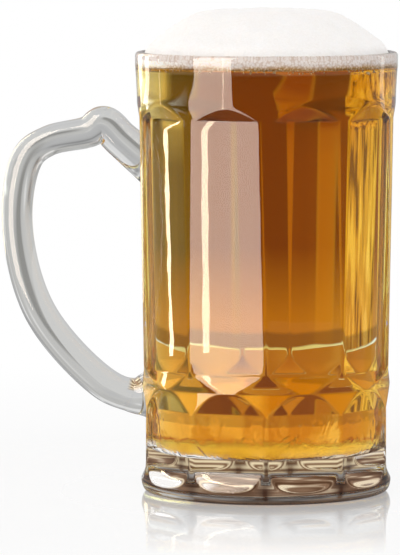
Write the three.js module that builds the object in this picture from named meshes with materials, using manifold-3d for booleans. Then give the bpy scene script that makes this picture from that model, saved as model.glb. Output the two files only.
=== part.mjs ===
import * as THREE from 'three';
import Module from 'manifold-3d';

// A heavy pressed-glass beer mug: ten panels between round columns, and an applied handle.
// Millimetres, +Z up, origin on the mug's axis at the table, handle toward -X.

const mugHeight = 145;
const rimRadius = 43.1;
const rimWall = 2.9;
const lipRound = 1.35;
const rimBand = 4.5;

const panelCount = 10;
const neckDrop = 16.5;
const neckInset = 0.6;
const archRise = 4.5;
const panelInset = 1.65;
const columnInset = 0.1;

const waistHeight = 36;
const waistReach = 5.5;
const waistDrop = 7;
const waistBand = 2;
const waistRise = 7;
const waistInset = 2.3;
const waistColumnInset = 1.1;
const waistPanelInset = 3.1;
const lowColumnInset = 1.95;
const lowerPanelInset = 3.75;

const footInset = 1.95;
const footRound = 3.15;
const footBulge = 4.5;
const footFlare = 12;
const footPanelInset = 3.7;

const floorHeight = 13.5;
const floorFillet = 7;
const floorWall = 4.8;
const panelWall = 2.4;

const handleReach = 42;
const handleHigh = 121.2;
const handleLow = 31.6;
const handleThick = 10;
const handleWidth = 14;
const seatGap = 0.3;

const roundSegments = 60;

const neckHeight = mugHeight - neckDrop;
const panelTop = neckHeight - archRise;
const lipHeight = mugHeight - lipRound;
const lipCrest = rimRadius - rimWall / 2;
const waistLow = waistHeight - waistDrop;
const waistHigh = waistHeight + waistReach;
const waistTop = waistHeight + waistRise;
const neckRadius = rimRadius - neckInset;
const panelRadius = rimRadius - panelInset;
const columnRadius = rimRadius - columnInset;
const waistRadius = rimRadius - waistInset;
const waistColumnRadius = rimRadius - waistColumnInset;
const waistPanelRadius = rimRadius - waistPanelInset;
const lowColumnRadius = rimRadius - lowColumnInset;
const footRadius = rimRadius - footInset;
const footPanelRadius = rimRadius - footPanelInset;

const wasm = await Module();
wasm.setup();

function toSolid(geometry) {
  geometry.deleteAttribute('normal');
  geometry.deleteAttribute('uv');
  const keys = new Map();
  const position = geometry.attributes.position;
  const vertices = [];
  const remap = [];
  for (let i = 0; i < position.count; i += 1) {
    const xyz = [position.getX(i), position.getY(i), position.getZ(i)];
    const key = xyz.map((v) => Math.round(v * 1e5)).join();
    if (!keys.has(key)) {
      keys.set(key, vertices.length / 3);
      vertices.push(...xyz);
    }
    remap.push(keys.get(key));
  }
  const triangles = [];
  const index = geometry.index.array;
  for (let i = 0; i < index.length; i += 3) {
    const [a, b, c] = [remap[index[i]], remap[index[i + 1]], remap[index[i + 2]]];
    if (a !== b && b !== c && c !== a) triangles.push(a, b, c);
  }
  return new wasm.Manifold(new wasm.Mesh({
    numProp: 3,
    vertProperties: new Float32Array(vertices),
    triVerts: new Uint32Array(triangles),
  }));
}

function toMesh(solid, name, colour) {
  const mesh = solid.getMesh();
  const geometry = new THREE.BufferGeometry();
  geometry.setAttribute('position', new THREE.BufferAttribute(mesh.vertProperties, 3));
  geometry.setIndex(new THREE.BufferAttribute(mesh.triVerts, 1));
  geometry.computeVertexNormals();
  const material = new THREE.MeshStandardMaterial({ color: colour, roughness: 0.05 });
  const node = new THREE.Mesh(geometry, material);
  node.name = name;
  return node;
}

function revolve(path, segments, scale) {
  const points = path.getPoints(5).map((p) => new THREE.Vector2(p.x * scale, p.y));
  return toSolid(new THREE.LatheGeometry(points, segments).rotateX(Math.PI / 2));
}

// The round blank: foot, columns that draw in at the waist, neck, rim band and lip.
function roundBlank(grow) {
  const path = new THREE.Path();
  const ring = (radius) => radius + grow;
  path.moveTo(0, -grow);
  path.lineTo(ring(footRadius - footRound), -grow);
  path.quadraticCurveTo(ring(footRadius), -grow, ring(footRadius), footBulge);
  path.lineTo(ring(lowColumnRadius), waistLow);
  path.lineTo(ring(waistRadius), waistHeight);
  path.quadraticCurveTo(ring(waistRadius), waistHeight + waistBand, ring(waistColumnRadius), waistTop);
  path.lineTo(ring(columnRadius), panelTop);
  path.quadraticCurveTo(ring(neckRadius), panelTop + archRise / 2, ring(neckRadius), neckHeight);
  path.quadraticCurveTo(ring(neckRadius), neckHeight + archRise, ring(rimRadius), mugHeight - rimBand);
  path.lineTo(ring(rimRadius), lipHeight);
  path.quadraticCurveTo(ring(rimRadius), mugHeight + grow, ring(lipCrest), mugHeight + grow);
  path.lineTo(0, mugHeight + grow);
  return revolve(path, roundSegments, 1);
}

// The ten-sided solid. Its flats are the panels: they flare out over the foot, and at the waist and
// the neck they lean out to meet the round blank in an arch.
function panelPrism(grow) {
  const clear = rimRadius + rimWall;
  const path = new THREE.Path();
  const flat = (inset) => rimRadius - inset + grow;
  path.moveTo(0, -rimWall);
  path.lineTo(clear, -rimWall);
  path.lineTo(clear, 0);
  path.lineTo(flat(footInset), footBulge);
  path.quadraticCurveTo(flat(footPanelInset), footBulge * 1.4, flat(footPanelInset), footFlare);
  path.lineTo(flat(lowerPanelInset), waistLow);
  path.lineTo(flat(waistInset), waistHeight);
  path.lineTo(flat(waistPanelInset), waistHigh);
  path.lineTo(flat(panelInset), panelTop);
  path.lineTo(flat(neckInset), neckHeight);
  path.lineTo(clear, neckHeight + neckDrop / 2);
  path.lineTo(clear, mugHeight + rimWall);
  path.lineTo(0, mugHeight + rimWall);
  return revolve(path, panelCount, 1 / Math.cos(Math.PI / panelCount));
}

function outerForm(grow) {
  return roundBlank(grow).intersect(panelPrism(grow));
}

// The hollow for the drink: a filleted floor, a drafted wall and the inner half of the lip.
function drinkHollow() {
  const rimInner = rimRadius - rimWall;
  const floorRadius = footPanelRadius - floorWall;
  const path = new THREE.Path();
  path.moveTo(0, floorHeight);
  path.lineTo(floorRadius - floorFillet, floorHeight);
  path.quadraticCurveTo(floorRadius, floorHeight, floorRadius, floorHeight + floorFillet);
  path.lineTo(panelRadius - panelWall, panelTop);
  path.lineTo(rimInner, lipHeight);
  path.quadraticCurveTo(rimInner, mugHeight, lipCrest, mugHeight);
  path.lineTo(lipCrest, mugHeight + rimWall);
  path.lineTo(0, mugHeight + rimWall);
  return revolve(path, roundSegments, 1);
}

// The grip runs in the XZ plane: fractions of its reach from the wall and of its height, then its
// thickness there. It swells at the thumb rest and spreads where it meets the wall.
const gripPath = [
  [-0.1, 0.827, 1.3],
  [0.183, 0.943, 1.2],
  [0.324, 1, 1.17],
  [0.44, 0.971, 1.05],
  [0.75, 0.9375, 1],
  [0.912, 0.88, 1.05],
  [1, 0.64, 1],
  [0.824, 0.308, 1.05],
  [0.321, 0.042, 1.08],
  [0.107, 0, 1.12],
  [-0.02, 0, 1.55],
  [-0.1, 0, 1.9],
];

function gripLoft() {
  const ringCount = (gripPath.length - 1) * 4;
  const sideCount = 16;
  const rise = handleHigh - handleLow;
  const line = new THREE.CatmullRomCurve3(gripPath.map(([out, up]) => new THREE.Vector3(
    -waistPanelRadius - out * handleReach,
    0,
    handleLow + up * rise,
  )));
  const swell = new THREE.SplineCurve(gripPath.map((row, i) => new THREE.Vector2(i, row[2])));
  const vertices = [];
  const index = [];
  for (let i = 0; i <= ringCount; i += 1) {
    const along = i / ringCount;
    const centre = line.getPoint(along);
    const tangent = line.getTangent(along);
    const across = new THREE.Vector3(-tangent.z, 0, tangent.x);
    const grow = swell.getPoint(along).y;
    const thick = handleThick * grow;
    const width = handleWidth * (0.75 + 0.25 * grow);
    for (let j = 0; j < sideCount; j += 1) {
      const turn = (j / sideCount) * 2 * Math.PI;
      const cos = Math.sign(Math.cos(turn)) * Math.abs(Math.cos(turn)) ** 0.75;
      const sin = Math.sign(Math.sin(turn)) * Math.abs(Math.sin(turn)) ** 0.75;
      const point = centre.clone().addScaledVector(across, (cos * thick) / 2);
      vertices.push(point.x, (sin * width) / 2, point.z);
    }
  }
  for (let i = 0; i < ringCount; i += 1) {
    for (let j = 0; j < sideCount; j += 1) {
      const next = (j + 1) % sideCount;
      const [a, b, c, d] = [i * sideCount + j, i * sideCount + next, (i + 1) * sideCount + next, (i + 1) * sideCount + j];
      index.push(a, c, b, a, d, c);
    }
  }
  for (let j = 1; j < sideCount - 1; j += 1) {
    const last = ringCount * sideCount;
    index.push(0, j, j + 1, last, last + j + 1, last + j);
  }
  const geometry = new THREE.BufferGeometry();
  geometry.setAttribute('position', new THREE.Float32BufferAttribute(vertices, 3));
  geometry.setIndex(index);
  return toSolid(geometry);
}

const body = outerForm(0).subtract(drinkHollow());
const handle = gripLoft().subtract(outerForm(seatGap));

const mug = new THREE.Group();
mug.name = 'glass_beer_mug';
mug.add(toMesh(body, 'mug_body', 0xe8eeea));
mug.add(toMesh(handle, 'handle', 0xdfe6e4));

export default mug;
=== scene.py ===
import math
import bpy
import bmesh
import numpy as np
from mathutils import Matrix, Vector, noise


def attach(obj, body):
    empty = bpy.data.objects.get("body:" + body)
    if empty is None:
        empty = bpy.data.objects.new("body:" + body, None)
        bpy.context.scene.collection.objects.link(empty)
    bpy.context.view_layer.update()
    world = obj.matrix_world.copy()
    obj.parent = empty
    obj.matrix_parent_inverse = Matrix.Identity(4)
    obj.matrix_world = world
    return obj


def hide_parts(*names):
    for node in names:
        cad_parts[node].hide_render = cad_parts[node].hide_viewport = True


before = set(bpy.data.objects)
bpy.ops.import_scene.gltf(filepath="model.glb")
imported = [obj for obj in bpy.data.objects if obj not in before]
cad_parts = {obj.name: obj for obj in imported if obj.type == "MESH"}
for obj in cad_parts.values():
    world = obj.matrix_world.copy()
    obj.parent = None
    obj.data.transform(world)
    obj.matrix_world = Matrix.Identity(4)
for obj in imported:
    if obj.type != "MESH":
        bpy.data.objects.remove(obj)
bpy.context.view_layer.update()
scene = bpy.context.scene
scene.view_settings.view_transform = 'Standard'
mm = 0.001


class Wire:
    # a socket of a node tree, with the sums that the trees here need
    def __init__(self, tree, socket):
        self.tree = tree
        self.socket = socket

    def math(self, operation, *others):
        return mathNode(self.tree, operation, self, *others)

    def __add__(self, other):
        return self.math('ADD', other)

    def __radd__(self, other):
        return mathNode(self.tree, 'ADD', other, self)

    def __sub__(self, other):
        return self.math('SUBTRACT', other)

    def __rsub__(self, other):
        return mathNode(self.tree, 'SUBTRACT', other, self)

    def __mul__(self, other):
        return self.math('MULTIPLY', other)

    def __rmul__(self, other):
        return mathNode(self.tree, 'MULTIPLY', other, self)

    def __truediv__(self, other):
        return self.math('DIVIDE', other)

    def __rtruediv__(self, other):
        return mathNode(self.tree, 'DIVIDE', other, self)


def setStops(elements, stops):
    while len(elements) < len(stops):
        elements.new(0.5)
    for element, (place, colour) in zip(elements, stops):
        element.position = place
        element.color = (*colour, 1)


def makeNode(tree, kind, settings, inputs, output=0):
    # any node: its settings first, then the values or links of its sockets
    node = tree.nodes.new(kind)
    for name, value in settings.items():
        if name == 'stops':
            setStops(node.color_ramp.elements, value)
        else:
            setattr(node, name, value)
    for name, value in inputs.items():
        if isinstance(value, Wire):
            tree.links.new(value.socket, node.inputs[name])
        else:
            node.inputs[name].default_value = value
    return Wire(tree, node.outputs[output])


def mathNode(tree, operation, *values):
    return makeNode(tree, 'ShaderNodeMath', {'operation': operation}, dict(enumerate(values)))


def above(value, edge, soft):
    # 0 below an edge and 1 above it, with a soft step between
    limits = {'Value': value, 'From Min': edge - soft, 'From Max': edge + soft}
    return makeNode(value.tree, 'ShaderNodeMapRange', {}, limits)


def below(value, edge, soft):
    return 1 - above(value, edge, soft)


def grey(level):
    return (level, level, level)


def mixTone(tree, share, first, second):
    tones = [t if isinstance(t, Wire) else (*t, 1) for t in (first, second)]
    inputs = {'Factor': share, 6: tones[0], 7: tones[1]}
    return makeNode(tree, 'ShaderNodeMix', {'data_type': 'RGBA'}, inputs, 2)


def tinted(tree, tone, other, share=1.0):
    settings = {'data_type': 'RGBA', 'blend_type': 'MULTIPLY'}
    inputs = {'Factor': share, 6: tone, 7: other}
    return makeNode(tree, 'ShaderNodeMix', settings, inputs, 2)


def ramp(tree, value, stops):
    return makeNode(tree, 'ShaderNodeValToRGB', {'stops': stops}, {'Fac': value})


def parted(tree, place):
    split = tree.nodes.new('ShaderNodeSeparateXYZ')
    tree.links.new(place.socket, split.inputs[0])
    return [Wire(tree, output) for output in split.outputs]


def placeOn(tree):
    place = makeNode(tree, 'ShaderNodeTexCoord', {}, {}, 'Object')
    return [place] + parted(tree, place)


def stretched(tree, place, scale):
    return makeNode(tree, 'ShaderNodeMapping', {}, {'Vector': place, 'Scale': scale})


def speckle(tree, place, size, detail=2.0, bend=0.0):
    inputs = {'Vector': place, 'Scale': size, 'Detail': detail, 'Distortion': bend}
    return makeNode(tree, 'ShaderNodeTexNoise', {}, inputs, 'Fac')


def cells(tree, place, size):
    inputs = {'Vector': place, 'Scale': size}
    return makeNode(tree, 'ShaderNodeTexVoronoi', {'feature': 'F1'}, inputs, 'Distance')


def newMaterial(name):
    material = bpy.data.materials.new(name)
    material.use_nodes = True
    material.node_tree.nodes.clear()
    return material, material.node_tree


def endMaterial(tree, surface, volume=None):
    out = tree.nodes.new('ShaderNodeOutputMaterial')
    tree.links.new(surface.socket, out.inputs['Surface'])
    if volume:
        tree.links.new(volume.socket, out.inputs['Volume'])


def newTree(name, inputs, output):
    # a Geometry Nodes tree with named inputs, and their wires
    tree = bpy.data.node_groups.new(name, 'GeometryNodeTree')
    for label, kind in inputs.items():
        tree.interface.new_socket(label, in_out='INPUT', socket_type='NodeSocket' + kind)
    tree.interface.new_socket(output, in_out='OUTPUT', socket_type='NodeSocketGeometry')
    start = tree.nodes.new('NodeGroupInput')
    return tree, [Wire(tree, start.outputs[label]) for label in inputs]


def endTree(tree, result):
    end = tree.nodes.new('NodeGroupOutput')
    tree.links.new(result.socket, end.inputs[0])
    return tree


def stored(tree, name):
    return makeNode(tree, 'GeometryNodeInputNamedAttribute', {'data_type': 'FLOAT'}, {'Name': name})


def store(mesh, name, values):
    mesh.attributes.new(name, 'FLOAT', 'POINT').data.foreach_set('value', np.asarray(values, float))


def addObject(name, mesh, material=None):
    piece = bpy.data.objects.new(name, mesh)
    scene.collection.objects.link(piece)
    if material:
        mesh.materials.clear()
        mesh.materials.append(material)
    mesh.polygons.foreach_set('use_smooth', [True] * len(mesh.polygons))
    return piece


def settled(source, name):
    # what an object's modifiers leave, as a plain mesh
    bpy.context.view_layer.update()
    mesh = bpy.data.meshes.new_from_object(source.evaluated_get(bpy.context.evaluated_depsgraph_get()))
    mesh.name = name
    source.modifiers.clear()
    bpy.data.objects.remove(source)
    return mesh


def grown(name, start, tree, values):
    # runs a tree on a mesh and gives the result back as a plain piece
    source = bpy.data.objects.new(name + 'Source', start)
    scene.collection.objects.link(source)
    modifier = source.modifiers.new('grow', 'NODES')
    modifier.node_group = tree
    sockets = {s.name: s.identifier for s in tree.interface.items_tree if s.in_out == 'INPUT'}
    for key, value in values.items():
        modifier[sockets[key]] = value
    return addObject(name, settled(source, name))


# the bowl, a round blank whose wall is pressed into ten panels: mm, with the radii as insets from the rim
bowl = dict(
    height=145, rim=43.1, rimWall=2.9, lipRound=1.35, rimBand=4.5,
    neckDrop=16.5, neck=0.6, neckEase=0.2, easeRise=9, archRise=4.5, panel=1.65, column=0.1,
    waistHeight=36, waistReach=5.5, waistDrop=7, waistBand=2, waistRise=7,
    waist=2.3, waistColumn=1.1, waistPanel=3.1, lowColumn=1.95, lowerPanel=3.75,
    foot=1.95, footRound=3.15, footBulge=4.5, footFlare=12, flareCurl=1.4, flareRun=1.5, footPanel=3.7,
    floorHeight=13.5, floorFillet=7, floorWall=4.8, panelWall=2.4,
    panels=10, panelClear=4, clearRise=8, softness=0.25, stepsPerPanel=30, crowding=0.11,
)
neckHeight = bowl['height'] - bowl['neckDrop']
panelTop = neckHeight - bowl['archRise']
lipHeight = bowl['height'] - bowl['lipRound']
lipCrest = bowl['rim'] - bowl['rimWall'] / 2
bandHeight = bowl['height'] - bowl['rimBand']
waistLow = bowl['waistHeight'] - bowl['waistDrop']
waistHigh = bowl['waistHeight'] + bowl['waistReach']
waistTop = bowl['waistHeight'] + bowl['waistRise']

# clear pressed glass; a pair is the edge of a mark (the streaks, or the painted shade on the foot) and its
# softness, in metres, or for footPost in panels
glass = dict(
    ior=1.5, tint=(0.985, 0.995, 0.99), handleTint=(0.97, 0.974, 0.972),
    wave=0.008, waveSize=55, bumpDepth=0.002, polish=0.0035, polishSize=420, polishDetail=3,
    streak=0.16, streakSize=150, streakBend=1.5, streakScale=(1.0, 1.0, 0.45), streakTop=(0.0265, 0.0015),
    wetShine=0.06,  # glass against beer hardly reflects
    # painted shade: the dark brown painted into the foot between its panels and under its sole, and where it
    # ends
    footPaintedShade=(0.06, 0.025, 0.012), footTop=(0.0095, 0.0045), soleTop=(0.0035, 0.002),
    footPost=(0.39, 0.09), footWander=0.25, footClear=(-0.027, 0.004),
)
# lager; its level says which glass is wet, and it grows a little way into the wall so that no air is left
beer = dict(
    level=140.8, grow=0.05, stepsPerPanel=20,
    ior=1.34, absorb=(5.4, 17.7, 58.0), spare=1.01, haze=0.003, hazeSize=60,
)


def glassMaterial(name, tint, wave, streaks=0.0, shine=1.0, foot=None):
    material, tree = newMaterial(name)
    place, x, y, z = placeOn(tree)
    ripple = speckle(tree, place, glass['waveSize'])
    polish = speckle(tree, place, glass['polishSize'], glass['polishDetail'])
    drawn = stretched(tree, place, glass['streakScale'])
    streak = speckle(tree, drawn, glass['streakSize'], bend=glass['streakBend'])
    height = ripple * wave + streak * streaks * below(z, *glass['streakTop'])
    bump = {'Height': height, 'Strength': 1.0, 'Distance': glass['bumpDepth']}
    tone = (*tint, 1)
    if foot:
        # painted shade: the foot's glass is painted dark between its panels and under its sole, where it
        # would show the dark of the room, but not at its left end
        turn = x.math('ARCTAN2', 0 - y) * (bowl['panels'] / (2 * math.pi))
        turn = turn + (ripple - 0.5) * glass['footWander']
        swing = (turn.math('FLOORED_MODULO', 1.0) - 0.5).math('ABSOLUTE')
        posts = below(z, *glass['footTop']) * above(swing, *glass['footPost'])
        dark = posts.math('MAXIMUM', below(z, *glass['soleTop'])) * above(x, *glass['footClear'])
        tone = mixTone(tree, dark, tint, foot)
    surface = makeNode(tree, 'ShaderNodeBsdfPrincipled', {}, {
        'Base Color': tone, 'Roughness': polish * glass['polish'], 'IOR': glass['ior'],
        'Transmission Weight': 1.0, 'Specular Tint': (*grey(shine), 1),
        'Normal': makeNode(tree, 'ShaderNodeBump', {}, bump)})
    endMaterial(tree, surface)
    return material


# the bowl's glass carries the painted shade of the foot
bowlGlass = glassMaterial('bowlGlass', glass['tint'], glass['wave'], foot=glass['footPaintedShade'])
wetGlass = glassMaterial('wetGlass', glass['tint'], 0.0, glass['streak'], glass['wetShine'])
handleGlass = glassMaterial('handleGlass', glass['handleTint'], glass['wave'])


def inset(name):
    return bowl['rim'] - bowl[name]


def bend(start, control, end, count):
    t = np.linspace(0, 1, count)[:, None]
    points = (1 - t) ** 2 * np.array(start) + 2 * t * (1 - t) * np.array(control) + t * t * np.array(end)
    return [tuple(p) for p in points]


def straight(start, end, count):
    return [tuple(p) for p in np.linspace(start, end, count)]


def joined(*runs):
    points = list(runs[0])
    for run in runs[1:]:
        points += list(run[1:])
    return points


def soleRun():
    return straight((0, 0), (inset('foot') - bowl['footRound'], 0), 12)


def outerProfile():
    # radius and height from the middle of the sole to the crest of the lip, each run with its count of points
    sole = soleRun()
    footSide = (inset('foot'), bowl['footBulge'])
    lowSide = (inset('lowColumn'), waistLow)
    waistSide = (inset('waist'), bowl['waistHeight'])
    columnFoot = (inset('waistColumn'), waistTop)
    columnTop = (inset('column'), panelTop)
    neckSide = (inset('neck'), neckHeight)
    flareTop = bowl['footFlare'] + bowl['flareRun']
    flareSide = (np.interp(flareTop, [footSide[1], lowSide[1]], [footSide[0], lowSide[0]]), flareTop)
    bandSide = (bowl['rim'], bandHeight)
    lipSide = (bowl['rim'], lipHeight)
    return joined(
        sole,
        bend(sole[-1], (inset('foot'), 0), footSide, 18),
        straight(footSide, flareSide, 26),
        straight(flareSide, lowSide, 16),
        straight(lowSide, waistSide, 24),
        bend(waistSide, (inset('waist'), bowl['waistHeight'] + bowl['waistBand']), columnFoot, 30),
        straight(columnFoot, columnTop, 24),
        bend(columnTop, (inset('neck'), panelTop + bowl['archRise'] / 2), neckSide, 22),
        bend(neckSide, (inset('neck'), neckHeight + bowl['archRise']), bandSide, 14),
        straight(bandSide, lipSide, 4),
        bend(lipSide, (bowl['rim'], bowl['height']), (lipCrest, bowl['height']), 8),
    )


def innerProfile(grow=0):
    # the hollow from the middle of its floor to the crest of the lip
    floorRadius = inset('footPanel') - bowl['floorWall'] + grow
    floor = bowl['floorHeight'] - grow
    floorSide = (floorRadius - bowl['floorFillet'], floor)
    filletTop = (floorRadius, floor + bowl['floorFillet'])
    wallTop = (inset('panel') - bowl['panelWall'] + grow, panelTop)
    lipSide = (bowl['rim'] - bowl['rimWall'] + grow, lipHeight)
    return joined(
        straight((0, floor), floorSide, 8),
        bend(floorSide, (floorRadius, floor), filletTop, 12),
        straight(filletTop, wallTop, 16),
        straight(wallTop, lipSide, 5),
        bend(lipSide, (lipSide[0], bowl['height']), (lipCrest, bowl['height']), 8),
    )


def wallAt(profile, height):
    # how far a hollow's wall stands from the axis at a height
    rising = [p for p in profile if p[1] > profile[0][1]]
    return np.interp(height, [z for r, z in rising], [r for r, z in rising])


def panelFlat(heights):
    # how far each panel's flat face stands from the axis
    footSide = (inset('foot'), bowl['footBulge'])
    flareTop = (inset('footPanel'), bowl['footFlare'])
    clear = bowl['rim'] + bowl['panelClear']
    rows = [(clear, 0)]
    rows += bend(footSide, (inset('footPanel'), bowl['footBulge'] * bowl['flareCurl']), flareTop, 24)
    rows += [(inset('lowerPanel'), waistLow), (inset('waist'), bowl['waistHeight'])]
    rows += [(inset('waistPanel'), waistHigh), (inset('panel'), panelTop)]
    rows += [(inset('neck'), neckHeight), (clear, neckHeight + bowl['clearRise'])]
    return np.interp(heights, [z for r, z in rows], [r for r, z in rows])


def neckEase(heights):
    # how far the neck gives way from a circle to the panels' own ten sides
    ends = [panelTop, neckHeight, neckHeight + bowl['easeRise']]
    return bowl['neckEase'] * np.interp(heights, ends, [0, 1, 0])


def turnAngles(perPanel):
    # columns stand at whole steps, and the steps crowd towards them
    u = np.arange(bowl['panels'] * perPanel) / perPanel
    return (u - bowl['crowding'] * np.sin(2 * np.pi * u)) * 2 * np.pi / bowl['panels']


def revolved(name, profile, angles):
    # a closed turn of a profile that starts and ends on the axis
    rows = np.array(profile[1:-1])
    count = len(angles)
    ring = np.stack([np.sin(angles), -np.cos(angles)], axis=1)
    rings = [np.column_stack([ring * r, np.full(count, z)]) for r, z in rows]
    points = np.concatenate([[[0, 0, profile[0][1]]], *rings, [[0, 0, profile[-1][1]]]]) * mm
    faces = []
    last = 1 + len(rows) * count
    for j in range(count):
        k = (j + 1) % count
        faces.append((0, 1 + k, 1 + j))
        faces.append((last, last - count + j, last - count + k))
    for i in range(len(rows) - 1):
        a = 1 + i * count
        for j in range(count):
            k = (j + 1) % count
            faces.append((a + j, a + k, a + count + k, a + count + j))
    mesh = bpy.data.meshes.new(name)
    mesh.from_pydata(points.tolist(), [], faces)
    return mesh


def panelTree():
    # presses the blank's wall in to the panels, with a soft edge where they meet it
    tree, (blank, panels, softness, dry, wetted) = newTree('panelPress', {
        'Blank': 'Geometry', 'Panels': 'Float', 'Softness': 'Float',
        'Glass': 'Material', 'Wet Glass': 'Material',
    }, 'Bowl')
    x, y, z = parted(tree, makeNode(tree, 'GeometryNodeInputPosition', {}, {}))
    radius = (x * x + y * y).math('SQRT')
    pitch = 2 * math.pi / panels
    part = (x.math('ARCTAN2', 0 - y) / pitch).math('FLOORED_MODULO', 1.0)
    spread = 1 / ((part - 0.5) * pitch).math('COSINE')
    eased = radius * (1 + stored(tree, 'neckEase') * (spread - 1))
    pressed = eased.math('SMOOTH_MIN', stored(tree, 'panelFlat') * spread, softness)
    share = 1 + stored(tree, 'wall') * (pressed / radius.math('MAXIMUM', 0.1 * mm) - 1)
    spot = makeNode(tree, 'ShaderNodeCombineXYZ', {}, {0: x * share, 1: y * share, 2: z})
    shaped = makeNode(tree, 'GeometryNodeSetPosition', {}, {'Geometry': blank, 'Position': spot})
    solid = makeNode(tree, 'GeometryNodeRealizeInstances', {}, {'Geometry': shaped})
    touched = {0: stored(tree, 'wet'), 1: 0.5}
    wet = makeNode(tree, 'FunctionNodeCompare', {'operation': 'GREATER_THAN'}, touched)
    coated = makeNode(tree, 'GeometryNodeSetMaterial', {}, {'Geometry': solid, 'Material': dry})
    inside = {'Geometry': coated, 'Selection': wet, 'Material': wetted}
    return endTree(tree, makeNode(tree, 'GeometryNodeSetMaterial', {}, inside))


def makeBowl():
    outer, inner = outerProfile(), innerProfile()
    blank = revolved('blank', outer + inner[::-1][1:], turnAngles(bowl['stepsPerPanel']))
    spots = np.empty(len(blank.vertices) * 3)
    blank.vertices.foreach_get('co', spots)
    heights = spots[2::3] / mm
    # points run ring by ring from the middle of the sole, so their order tells sole, wall and hollow apart
    order = np.arange(len(heights))
    perRing = bowl['panels'] * bowl['stepsPerPanel']
    lastSole = perRing * (len(soleRun()) - 1)
    lastOuter = perRing * (len(outer) - 1)
    store(blank, 'wall', (order > lastSole) & (order <= lastOuter))
    store(blank, 'wet', (order > lastOuter) & (heights < beer['level']))
    store(blank, 'panelFlat', panelFlat(heights) * mm)
    store(blank, 'neckEase', neckEase(heights))
    return grown('bowl', blank, panelTree(), {
        'Panels': float(bowl['panels']), 'Softness': bowl['softness'] * mm,
        'Glass': bowlGlass, 'Wet Glass': wetGlass})


bowlPiece = makeBowl()
print('bowl', len(bowlPiece.data.vertices))

# the applied handle, in mm; its path gives shares of its reach and its rise, and how far it swells there
handle = dict(
    reach=42, high=121.2, low=31.6, thick=10, width=14, widthSwell=0.25, square=0.75,
    rings=14, sides=48, sharp=35, seatGap=0.03,
    path=[(-0.1, 0.827, 1.3), (0.183, 0.943, 1.2), (0.324, 1, 1.17), (0.44, 0.971, 1.05), (0.75, 0.9375, 1),
          (0.912, 0.88, 1.05), (1, 0.64, 1), (0.824, 0.308, 1.05), (0.321, 0.042, 1.08), (0.107, 0, 1.12),
          (-0.02, 0, 1.55), (-0.1, 0, 1.9)],
    block=dict(low=15, high=130, inside=25, half=16, rows=60),
)


def easedSlope(a, b, c, first, second):
    # the slope at b on the way from a to c
    return (b - a) / first - (c - a) / (first + second) + (c - b) / second


def through(points, steps):
    # a smooth line through the points, paced by the square roots of its chords
    p = np.array(points, float)
    p = np.vstack([2 * p[0] - p[1], p, 2 * p[-1] - p[-2]])
    pace = np.maximum(np.linalg.norm(np.diff(p[:, :2], axis=0), axis=1) ** 0.5, 1e-4)
    t = (np.arange(steps) / steps)[:, None]
    line = []
    for i in range(1, len(p) - 2):
        before, here, after = pace[i - 1:i + 2]
        leave = easedSlope(p[i - 1], p[i], p[i + 1], before, here) * here
        arrive = easedSlope(p[i], p[i + 1], p[i + 2], here, after) * here
        line.append((2 * t ** 3 - 3 * t ** 2 + 1) * p[i] + (t ** 3 - 2 * t ** 2 + t) * leave
                    + (3 * t ** 2 - 2 * t ** 3) * p[i + 1] + (t ** 3 - t ** 2) * arrive)
    return np.vstack(line + [p[-2]])


def rounded(wave):
    # squares a circle's sine or cosine off a little
    return np.sign(wave) * np.abs(wave) ** handle['square']


def gripMesh():
    rise = handle['high'] - handle['low']
    line = through([(-inset('waistPanel') - out * handle['reach'], handle['low'] + up * rise, swell)
                    for out, up, swell in handle['path']], handle['rings'])
    along = np.gradient(line[:, :2], axis=0)
    along /= np.linalg.norm(along, axis=1)[:, None]
    n, rows = handle['sides'], len(line)
    turn = np.linspace(0, 2 * np.pi, n, endpoint=False)
    section = list(zip(rounded(np.cos(turn)), rounded(np.sin(turn))))
    points = []
    for (x, z, swell), (dx, dz) in zip(line, along):
        half = handle['thick'] * swell / 2
        wide = handle['width'] * (1 + handle['widthSwell'] * (swell - 1)) / 2
        points += [(x - dz * half * c, wide * s, z + dx * half * c) for c, s in section]
    faces = []
    for i in range(rows - 1):
        for j in range(n):
            k = (j + 1) % n
            faces.append((i * n + j, (i + 1) * n + j, (i + 1) * n + k, i * n + k))
    faces += [tuple(range(n)), tuple(reversed(range((rows - 1) * n, rows * n)))]
    mesh = bpy.data.meshes.new('grip')
    mesh.from_pydata((np.array(points) * mm).tolist(), [], faces)
    return mesh


def wallBlock():
    # a block behind the panel that the handle sits on, to cut the handle's ends square to it
    block = handle['block']
    heights = np.linspace(block['low'], block['high'], block['rows'])
    side = [(-r, z) for r, z in zip(panelFlat(heights) + handle['seatGap'], heights)]
    side += [(-block['inside'], block['high']), (-block['inside'], block['low'])]
    cutter = bmesh.new()
    near = [cutter.verts.new((x * mm, -block['half'] * mm, z * mm)) for x, z in side]
    far = [cutter.verts.new((x * mm, block['half'] * mm, z * mm)) for x, z in side]
    cutter.faces.new(near)
    cutter.faces.new(far[::-1])
    for j in range(len(side)):
        k = (j + 1) % len(side)
        cutter.faces.new((near[k], near[j], far[j], far[k]))
    bmesh.ops.recalc_face_normals(cutter, faces=cutter.faces)
    mesh = bpy.data.meshes.new('wallBlock')
    cutter.to_mesh(mesh)
    cutter.free()
    return addObject('wallBlock', mesh)


def makeHandle():
    grip = addObject('grip', gripMesh(), handleGlass)
    block = wallBlock()
    cut = grip.modifiers.new('seat', 'BOOLEAN')
    cut.operation = 'DIFFERENCE'
    cut.solver = 'EXACT'
    cut.object = block
    piece = addObject('handlePiece', settled(grip, 'handlePiece'))
    bpy.data.objects.remove(block)
    piece.data.set_sharp_from_angle(angle=math.radians(handle['sharp']))
    return piece


handlePiece = makeHandle()
print('handle', len(handlePiece.data.vertices))


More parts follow.
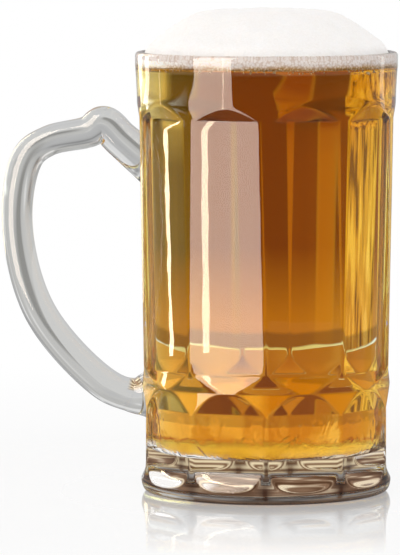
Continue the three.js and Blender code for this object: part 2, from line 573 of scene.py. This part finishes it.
# the drink
def beerMaterial():
    material, tree = newMaterial('lager')
    place = placeOn(tree)[0]
    haze = speckle(tree, place, beer['hazeSize'])
    surface = makeNode(tree, 'ShaderNodeBsdfPrincipled', {}, {
        'Base Color': (1, 1, 1, 1), 'Roughness': haze * beer['haze'], 'IOR': beer['ior'],
        'Transmission Weight': 1.0, 'Specular Tint': (*grey(glass['wetShine']), 1)})
    density = max(beer['absorb']) * beer['spare']
    colour = [1 - a / density for a in beer['absorb']]
    volume = makeNode(tree, 'ShaderNodeVolumeAbsorption', {}, {'Color': (*colour, 1), 'Density': density})
    endMaterial(tree, surface, volume)
    return material


def cutOff(profile, level):
    # the part of a rising profile up to a level
    rows = [p for p in profile if p[1] < level]
    return rows + [(wallAt(profile, level), level)]


def makeBeer():
    sides = cutOff(innerProfile(beer['grow']), beer['level'])
    surface = straight(sides[-1], (0, beer['level']), 10)
    mesh = revolved('beer', joined(sides, surface), turnAngles(beer['stepsPerPanel']))
    return addObject('beer', mesh, beerMaterial())


beerPiece = makeBeer()
print('beer', len(beerPiece.data.vertices))

# the foam head: a dome above the lip, and specks of amber where it meets the beer
foam = dict(
    dip=0.6, lipDrop=0.9, top=158.9, steps=160,
    dome=[(38.6, 147.2), (35.4, 149.6), (31.6, 152.4), (27, 155.6), (22.5, 157.8), (16, 158.7)], domeRings=8,
    lump=0.7, lumpSize=90, lumpFrom=145.2, lumpOver=3, lumpRise=30, calmFrom=156, calm=0.5,
    colour=(0.95, 0.935, 0.93), shade=(0.86, 0.82, 0.79), cloudShare=0.5, cellShare=0.45,
    wall=(0.95, 0.87, 0.84), pitsAndShadow=(0.78, 0.65, 0.58), amber=(0.82, 0.6, 0.36), dregs=(0.58, 0.32, 0.1),
    cloudSize=140, cloudDetail=4, cellSize=1500, cellBump=0.5, frothSize=520, frothBump=0.8, speckSize=1400,
    fringeTop=(0.1412, 0.0006), fringeWander=0.002, wallTop=(0.1445, 0.0005),
    bump=0.35, bumpDepth=0.0006, rough=0.55, roughCloud=0.2,
    glow=0.35, glowDepth=0.003, glowRadius=(1.0, 0.9, 0.8),
)


def foamMaterial():
    material, tree = newMaterial('foamHead')
    place, _, _, z = placeOn(tree)
    fine = cells(tree, place, foam['cellSize'])
    large = cells(tree, place, foam['frothSize'])
    speck = cells(tree, place, foam['speckSize'])
    cloud = speckle(tree, place, foam['cloudSize'], foam['cloudDetail'])
    shaded = (cloud * foam['cloudShare'] + fine * foam['cellShare']).math('MINIMUM', 1.0)
    dome = mixTone(tree, shaded, foam['colour'], foam['shade'])
    wall = ramp(tree, speck, [(0.0, foam['wall']), (0.45, foam['wall']), (0.75, foam['pitsAndShadow'])])
    fringe = ramp(tree, speck, [(0.0, foam['wall']), (0.3, foam['amber']), (0.6, foam['dregs'])])
    low = below(z + (cloud - 0.5) * foam['fringeWander'], *foam['fringeTop'])
    tone = mixTone(tree, above(z, *foam['wallTop']), mixTone(tree, low, wall, fringe), dome)
    height = fine * foam['cellBump'] + large * foam['frothBump'] + cloud
    bump = {'Height': height, 'Strength': foam['bump'], 'Distance': foam['bumpDepth']}
    surface = makeNode(tree, 'ShaderNodeBsdfPrincipled', {}, {
        'Base Color': tone, 'Roughness': foam['rough'] + cloud * foam['roughCloud'],
        'Subsurface Weight': foam['glow'], 'Subsurface Radius': foam['glowRadius'],
        'Subsurface Scale': foam['glowDepth'], 'Normal': makeNode(tree, 'ShaderNodeBump', {}, bump)})
    endMaterial(tree, surface)
    return material


def makeFoam():
    sides = cutOff(innerProfile(beer['grow']), bowl['height'] - foam['lipDrop'])
    low = beer['level'] - foam['dip']
    base = (wallAt(sides, low), low)
    wall = [base] + [p for p in sides if p[1] > low]
    dome = through([wall[-1], *foam['dome'], (0, foam['top'])], foam['domeRings'])
    profile = joined(straight((0, low), base, 8), wall, [tuple(p) for p in dome])
    mesh = revolved('foamHead', profile, np.linspace(0, 2 * np.pi, foam['steps'], endpoint=False))
    for v in mesh.vertices:
        height = v.co.z / mm
        rise = min(max((height - foam['lumpFrom']) / foam['lumpOver'], 0), 1)
        if rise > 0:
            lump = noise.fractal(v.co * foam['lumpSize'], 1.0, 2.0, 3) * foam['lump'] * rise
            away = Vector((v.co.x, v.co.y, foam['lumpRise'] * mm)).normalized()
            v.co += away * lump * mm * (1 if height < foam['calmFrom'] else foam['calm'])
    return addObject('foamHead', mesh, foamMaterial())


foamPiece = makeFoam()
print('foam', len(foamPiece.data.vertices))

# bubbles where the foam meets the beer, against the wall
fizz = dict(
    count=1900, small=0.16, large=0.52, low=138.9, high=141.7, radius=40, clear=0.05,
    rows=8, steps=120, seed=7,
    pale=(0.8, 0.6, 0.36), amber=(0.4, 0.19, 0.04), filmSize=900, rough=0.15, roughFilm=0.1,
)


def bubbleTree():
    tree, (band, density, smallest, largest, seed, skin) = newTree('bubbleFringe', {
        'Band': 'Geometry', 'Density': 'Float', 'Smallest': 'Float', 'Largest': 'Float', 'Seed': 'Int',
        'Skin': 'Material',
    }, 'Bubbles')
    scatter = {'Mesh': band, 'Density': density * stored(tree, 'crowd'), 'Seed': seed}
    points = makeNode(tree, 'GeometryNodeDistributePointsOnFaces', {}, scatter)
    ball = makeNode(tree, 'GeometryNodeMeshIcoSphere', {}, {'Radius': 1.0, 'Subdivisions': 2})
    draw = {2: 0.0, 3: 1.0, 'Seed': seed}
    size = makeNode(tree, 'FunctionNodeRandomValue', {'data_type': 'FLOAT'}, draw, 1)
    scale = smallest + (largest - smallest) * size * size
    balls = {'Points': points, 'Instance': ball, 'Scale': scale}
    spread = makeNode(tree, 'GeometryNodeInstanceOnPoints', {}, balls)
    solid = makeNode(tree, 'GeometryNodeRealizeInstances', {}, {'Geometry': spread})
    return endTree(tree, makeNode(tree, 'GeometryNodeSetMaterial', {}, {'Geometry': solid, 'Material': skin}))


def bubbleMaterial():
    material, tree = newMaterial('bubbleSkin')
    film = speckle(tree, placeOn(tree)[0], fizz['filmSize'])
    surface = makeNode(tree, 'ShaderNodeBsdfPrincipled', {}, {
        'Base Color': mixTone(tree, film, fizz['pale'], fizz['amber']),
        'Roughness': fizz['rough'] + film * fizz['roughFilm'], 'IOR': beer['ior']})
    endMaterial(tree, surface)
    return material


def makeBubbles():
    sides = innerProfile()
    n = fizz['steps']
    angles = np.linspace(0, 2 * np.pi, n, endpoint=False)
    depth = fizz['high'] - fizz['low']
    points, faces, crowd = [], [], []
    for z in np.linspace(fizz['low'], fizz['high'], fizz['rows']):
        r = wallAt(sides, z) - fizz['large'] - fizz['clear']
        points += [(r * math.sin(a) * mm, -r * math.cos(a) * mm, z * mm) for a in angles]
        crowd += [((z - fizz['low']) / depth) ** 2] * n
    for i in range(fizz['rows'] - 1):
        for j in range(n):
            k = (j + 1) % n
            faces.append((i * n + j, i * n + k, (i + 1) * n + k, (i + 1) * n + j))
    band = bpy.data.meshes.new('band')
    band.from_pydata(points, [], faces)
    store(band, 'crowd', crowd)
    area = 2 * math.pi * fizz['radius'] * mm * depth * mm
    return grown('bubbleFringe', band, bubbleTree(), {
        'Density': fizz['count'] / area * 3,  # the crowding leaves a third of them
        'Smallest': fizz['small'] * mm, 'Largest': fizz['large'] * mm,
        'Seed': fizz['seed'], 'Skin': bubbleMaterial()})


bubblePiece = makeBubbles()
print('bubbles', len(bubblePiece.data.polygons))

pieces = (bowlPiece, handlePiece, beerPiece, foamPiece, bubblePiece)
for piece, node, slot in ((bowlPiece, 'mug_body', 'bowl_glass'), (handlePiece, 'handle', 'handle_glass')):
    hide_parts(node)
for piece in pieces:
    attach(piece, 'root')

# how often a ray has been bent before it counts as seen through glass, through the drink or along the wall
rays = dict(glass=(0.5, 0.1), drink=(4.5, 0.1), wall=(6.5, 0.1), scattered=(0.5, 0.1))

# the table, in metres; an edge and its softness say where a tone ends, some in degrees round the mug
table = dict(
    radius=0.5, spare=0.02, sides=128, matte=0.9, gloss=0.025,
    shade=0.3, shadeOut=(0.26, 0.14), mirror=0.6, mirrorOut=(0.095, 0.055), front=0.25,
    # painted shadow and glints under the foot, a painted pool of light by the handle, and painted rings of
    # light and shade round the foot
    sole=[(0.38, (0.1, 0.045, 0.02)), (0.54, (0.26, 0.15, 0.09)), (0.64, (0.85, 0.7, 0.5))],
    patchSize=55, patchReach=0.02, pool=(1.0, 0.97, 0.94), poolEdge=(-0.0165, 0.003),
    ringStart=0.052, ringStep=1.275, ringLight=(0.9, 0.74, 0.48), ringDark=(0.22, 0.11, 0.05),
    ringIn=(0.0435, 0.0065), ringOut=(0.12, 0.02), ringLeft=(-0.047, 0.004), plain=0.62,
    amber=(0.95, 0.68, 0.12), pale=(1.3, 1.24, 1.2), paleFrom=(2, 6), paleTo=(110, 40),
    # a painted shadow under the foot, as seen through the drink, and where it ends
    pitsAndShadow=(0.53, 0.27, 0.1), footShadowOut=(0.062, 0.012), far=0.68, farOut=(0.22, 0.03),
)


def lightPath(tree):
    path = tree.nodes.new('ShaderNodeLightPath')
    return {o.name: Wire(tree, o) for o in path.outputs}


def degrees(x, y):
    # how far round a place is, 0 straight behind the mug and positive to the right
    return x.math('ARCTAN2', y) * (180 / math.pi)


def shining(tree, tone):
    return makeNode(tree, 'ShaderNodeEmission', {}, {'Color': tone, 'Strength': 1.0})


def shaderMix(tree, share, first, second):
    return makeNode(tree, 'ShaderNodeMixShader', {}, {0: share, 1: first, 2: second})


def tableMaterial():
    material, tree = newMaterial('whiteTable')
    path = lightPath(tree)
    place, x, y, _ = placeOn(tree)
    out = (x * x + y * y).math('SQRT')
    # seen through the foot: painted shadow in patches and a painted pool of light under it, painted rings of
    # light and shade round it
    patchNoise = speckle(tree, place, table['patchSize'], 1.0)
    pool = below(x + (patchNoise - 0.5) * table['patchReach'], *table['poolEdge'])
    sole = mixTone(tree, pool, ramp(tree, patchNoise, table['sole']), table['pool'])
    rung = (out / table['ringStart']).math('LOGARITHM', table['ringStep'])
    wave = (rung * (2 * math.pi)).math('COSINE') * 0.5 + 0.5
    rings = mixTone(tree, wave, table['ringDark'], table['ringLight'])
    clear = mixTone(tree, above(out, *table['ringIn']), sole, rings)
    outside = above(out, *table['ringOut']).math('MAXIMUM', below(x, *table['ringLeft']))
    clear = mixTone(tree, outside, clear, grey(table['plain']))
    # seen through the drink: amber to the left, pale to the right, a painted shadow under the foot and dim
    # far out
    turned = degrees(x, y)
    side = above(turned, *table['paleFrom']) * below(turned, *table['paleTo'])
    deep = mixTone(tree, side, table['amber'], table['pale'])
    deep = tinted(tree, deep, mixTone(tree, above(out, *table['footShadowOut']), table['pitsAndShadow'], grey(1.0)))
    deep = tinted(tree, deep, mixTone(tree, above(out, *table['farOut']), grey(1.0), grey(table['far'])))
    passes = path['Transmission Depth']
    tone = mixTone(tree, above(passes, *rays['drink']), clear, deep)
    tone = mixTone(tree, path['Is Singular Ray'] * below(passes, *rays['glass']), tone, grey(table['front']))
    # seen by the camera: white, with a soft shadow and a faint mirror near the mug
    matte = makeNode(tree, 'ShaderNodeBsdfDiffuse', {}, {'Color': (*grey(table['matte']), 1)})
    shiny = makeNode(tree, 'ShaderNodeBsdfGlossy', {}, {'Color': (1, 1, 1, 1), 'Roughness': table['gloss']})
    white = shining(tree, (1, 1, 1, 1))
    plain = shaderMix(tree, below(out, *table['shadeOut']) * table['shade'], white, matte)
    polished = shaderMix(tree, below(out, *table['mirrorOut']) * table['mirror'], plain, shiny)
    bright = shaderMix(tree, path['Is Camera Ray'], shining(tree, tone), polished)
    endMaterial(tree, shaderMix(tree, path['Is Diffuse Ray'], bright, matte))
    return material


def circle(radius, sides, height):
    turn = np.linspace(0, 2 * np.pi, sides, endpoint=False)
    return [(radius * math.cos(a), radius * math.sin(a), height) for a in turn]


def makeTable():
    sides = table['sides']
    mesh = bpy.data.meshes.new('table')
    mesh.from_pydata(circle(table['radius'] + table['spare'], sides, 0), [], [tuple(range(sides))])
    addObject('table', mesh, tableMaterial())


# a ring of cards round the table, each over some degrees, with a tone at its foot and one at its head
room = dict(
    height=0.7, sides=120, fill=0.92, foamFill=1.9, over=(0.95, 0.9, 0.8),
    # through the drink
    beside=(0.95, 1.0, 0.7), ahead=(0.85, 0.62, 0.25), aheadFrom=(122, 14), headAt=(0.1, 0.02),
    glow=(0.95, 0.75, 0.35), glowShare=0.65, glowTop=(0.028, 0.016), topShade=0.4, topFrom=(0.17, 0.03),
    mottle=[(0.36, (0.3, 0.25, 0.15)), (0.46, grey(0.9)), (0.53, grey(1.0)), (0.62, (1.3, 1.6, 4.0))],
    mottleScale=(60.0, 60.0, 30.0), skirt=0.57, skirtTop=(0.0072, 0.0008),
    slit=(1.1, 2.0, 9.0), slitTop=(0.0009, 0.0004), slitWander=0.004,
    edge=(1.9, 2.7, 2.4), edgeAside=(0.9, 1.0, 0.6), edgeFrom=(60, 4),
    # through the handle and the foot
    clear=[(0.0, grey(0.56)), (0.27, grey(0.43)), (0.75, grey(0.5)), (0.8, grey(0.88))],
    patchTones=[(0.3, grey(0.5)), (0.42, grey(0.95)), (0.58, grey(1.05)), (0.66, grey(1.7))], patchSize=9,
    aside=(1.1, 1.0, 0.65), asideFrom=(60, 6), asideTop=(0.13, 0.02),
    # mirrored by the glass
    front=0.06, back=0.5, frontFrom=(75, 10), neckLight=(4.6, 5.0, 4.4),
    neckFrom=(-94, 14), neckTo=(-48, 18), neckLow=(0.103, 0.004), neckHigh=(0.125, 0.004),
)
cards = dict(
    gold=dict(span=(-60, -18), soft=0.6, foot=(1.1, 1.1, 0.5), head=(0.95, 0.75, 0.12)),
    brown=dict(span=(-18, -8.6), soft=0.6, foot=(0.35, 0.18, 0.05), head=(0.26, 0.15, 0.05)),
    amber=dict(span=(-8.6, -3.2), soft=0.5, foot=(0.65, 0.42, 0.05), head=(0.4, 0.2, 0.05)),
    umber=dict(span=(-3.2, 13.5), soft=0.5, foot=(0.28, 0.14, 0.03), head=(0.26, 0.135, 0.03)),
    olive=dict(span=(13.5, 24.5), soft=0.8, foot=(0.27, 0.3, 0.33), head=(0.19, 0.21, 0.17)),
    sage=dict(span=(24.5, 38), soft=3, foot=(0.28, 0.36, 0.4), head=(0.9, 1.3, 3.0)),
    pale=dict(span=(38, 70), soft=3, foot=(1.3, 1.4, 1.6), head=(1.8, 2.8, 8.0)),
)


def cardTone(tree, place, turned, z, patchNoise):
    # the cards as seen through the drink
    tone = mixTone(tree, above(turned.math('ABSOLUTE'), *room['aheadFrom']), room['beside'], room['ahead'])
    rise = above(z, *room['headAt'])
    covers = {}
    for name, card in cards.items():
        left, right = card['span']
        covers[name] = above(turned, left, card['soft']) * below(turned, right, card['soft'])
        tone = mixTone(tree, covers[name], tone, mixTone(tree, rise, card['foot'], card['head']))
    tone = mixTone(tree, below(z, *room['glowTop']) * room['glowShare'], tone, room['glow'])
    tone = tinted(tree, tone, mixTone(tree, above(z, *room['topFrom']), grey(1.0), grey(room['topShade'])))
    spots = speckle(tree, stretched(tree, place, room['mottleScale']), 1.0)
    tone = tinted(tree, tone, ramp(tree, spots, room['mottle']), covers['gold'])  # the gold card is mottled
    # the cards stand just clear of the table, whose far edge shines below their dark skirts
    tone = tinted(tree, tone, mixTone(tree, above(z, *room['skirtTop']), grey(room['skirt']), grey(1.0)))
    return mixTone(tree, below(z + (patchNoise - 0.5) * room['slitWander'], *room['slitTop']), tone, room['slit'])


def cardMaterial():
    material, tree = newMaterial('cards')
    path = lightPath(tree)
    place, x, y, z = placeOn(tree)
    turned = degrees(x, y)
    away = turned.math('ABSOLUTE')
    patchNoise = speckle(tree, place, room['patchSize'], 1.0)
    deep = cardTone(tree, place, turned, z, patchNoise)
    edge = mixTone(tree, above(away, *room['edgeFrom']), room['edge'], room['edgeAside'])
    deep = mixTone(tree, above(path['Ray Depth'], *rays['wall']), deep, edge)
    # seen through the handle and the foot
    clear = tinted(tree, ramp(tree, z / room['height'], room['clear']), ramp(tree, patchNoise, room['patchTones']))
    clear = mixTone(tree, above(away, *room['asideFrom']) * below(z, *room['asideTop']), clear, room['aside'])
    # mirrored by the glass: darker in front than behind, with a light for the left of the neck
    mirrored = mixTone(tree, above(away, *room['frontFrom']), grey(room['back']), grey(room['front']))
    leftward = above(turned, *room['neckFrom']) * below(turned, *room['neckTo'])
    level = above(z, *room['neckLow']) * below(z, *room['neckHigh'])
    mirrored = mixTone(tree, leftward * level, mirrored, room['neckLight'])
    mirrored = mixTone(tree, path['Is Singular Ray'], grey(1.0), mirrored)
    passes = path['Transmission Depth']
    tone = mixTone(tree, above(passes, *rays['glass']), mirrored, clear)
    tone = mixTone(tree, above(passes, *rays['drink']), tone, deep)
    tone = mixTone(tree, above(path['Diffuse Depth'], *rays['scattered']), tone, grey(room['foamFill']))
    endMaterial(tree, shining(tree, tone))
    return material


def makeRing():
    n = room['sides']
    points = circle(table['radius'], n, 0) + circle(table['radius'], n, room['height'])
    mesh = bpy.data.meshes.new('cardRing')
    mesh.from_pydata(points, [], [(j, (j + 1) % n, n + (j + 1) % n, n + j) for j in range(n)])
    ring = addObject('cardRing', mesh, cardMaterial())
    ring.visible_camera = False
    ring.visible_diffuse = False
    ring.visible_shadow = False


def makeWorld():
    world = bpy.data.worlds.new('studio')
    scene.world = world
    world.use_nodes = True
    tree = world.node_tree
    tree.nodes.clear()
    path = lightPath(tree)
    mirrored = mixTone(tree, path['Is Singular Ray'], grey(1.0), grey(room['front']))
    seen = mixTone(tree, above(path['Transmission Depth'], *rays['glass']), mirrored, room['over'])
    lit = mixTone(tree, path['Is Diffuse Ray'], seen, grey(room['fill']))
    final = mixTone(tree, path['Is Camera Ray'], lit, grey(1.0))
    shine = makeNode(tree, 'ShaderNodeBackground', {}, {'Color': final, 'Strength': 1.0})
    out = tree.nodes.new('ShaderNodeOutputWorld')
    tree.links.new(shine.socket, out.inputs['Surface'])


# tall lamps that face the mug: degrees round it from the camera's side, positive to the right, and metres
lamps = dict(
    keyLeft=dict(turn=-45.5, away=0.3, low=0.004, high=0.5, width=0.18, radiance=8.0, tone=(1, 0.86, 0.73)),
    rimRight=dict(turn=118, away=0.45, low=0.02, high=0.4, width=0.05, radiance=1.5),
    rimLeft=dict(turn=-125, away=0.45, low=0.02, high=0.4, width=0.06, radiance=4.0),
    stripeLeft=dict(turn=-142, away=0.45, low=0.02, high=0.4, width=0.09, radiance=4.0, tone=(1, 0.88, 0.6)),
    tubeFront=dict(turn=-35.572, away=0.2914, low=0.015, high=0.42, width=0.0025, radiance=16,
                   tone=(1, 0.86, 0.62)),
    tubeLeft=dict(turn=-103.18, away=0.3245, low=0.01, high=0.42, width=0.0013, radiance=16,
                  tone=(1, 0.86, 0.62)),
    window=dict(turn=-30, away=0.9, low=0.6, high=1.4, width=0.8, radiance=1.0, tip=35, lights=True),
)
shineOn = bpy.data.collections.new('shineOn')  # the lamps shine on these alone, so none shows in the table
for piece in pieces:
    shineOn.objects.link(piece)


def makeLamp(name, turn, away, low, high, width, radiance, tone=(1, 0.97, 0.93), tip=0, lights=False):
    # only the window lights the scene: the others are there to be mirrored by the glass
    lamp = bpy.data.lights.new(name, 'AREA')
    lamp.shape = 'RECTANGLE'
    lamp.size = width
    lamp.size_y = high - low
    lamp.energy = radiance * math.pi * width * (high - low)
    lamp.color = tone
    spot = bpy.data.objects.new(name, lamp)
    scene.collection.objects.link(spot)
    a = math.radians(turn)
    spot.location = (math.sin(a) * away, -math.cos(a) * away, (low + high) / 2)
    spot.rotation_euler = (math.radians(90 - tip), 0, a)
    spot.visible_camera = False
    spot.visible_diffuse = lights
    spot.visible_transmission = lights
    if not lights:
        spot.light_linking.receiver_collection = shineOn


makeTable()
makeRing()
makeWorld()
for name, lamp in lamps.items():
    makeLamp(name, **lamp)
print('studio', len(lamps), 'lamps')

# the camera, in metres, and how often light may bend on its way
view = dict(
    distance=1.554, height=0.205, aim=(-0.0218, 0, 0.0705), span=0.1829, sensor=36, clip=100,
    bends=24, mirrors=8,
)


def makeCamera():
    data = bpy.data.cameras.new('camera')
    camera = bpy.data.objects.new('camera', data)
    scene.collection.objects.link(camera)
    camera.location = (0, -view['distance'], view['height'])
    sight = Vector(view['aim']) - camera.location
    camera.rotation_euler = sight.to_track_quat('-Z', 'Y').to_euler()
    data.sensor_width = view['sensor']
    data.lens = view['sensor'] * sight.length / view['span']
    data.clip_end = view['clip']
    scene.camera = camera
    scene.cycles.max_bounces = view['bends']
    scene.cycles.transmission_bounces = view['bends']
    scene.cycles.glossy_bounces = view['mirrors']


makeCamera()
print('camera')
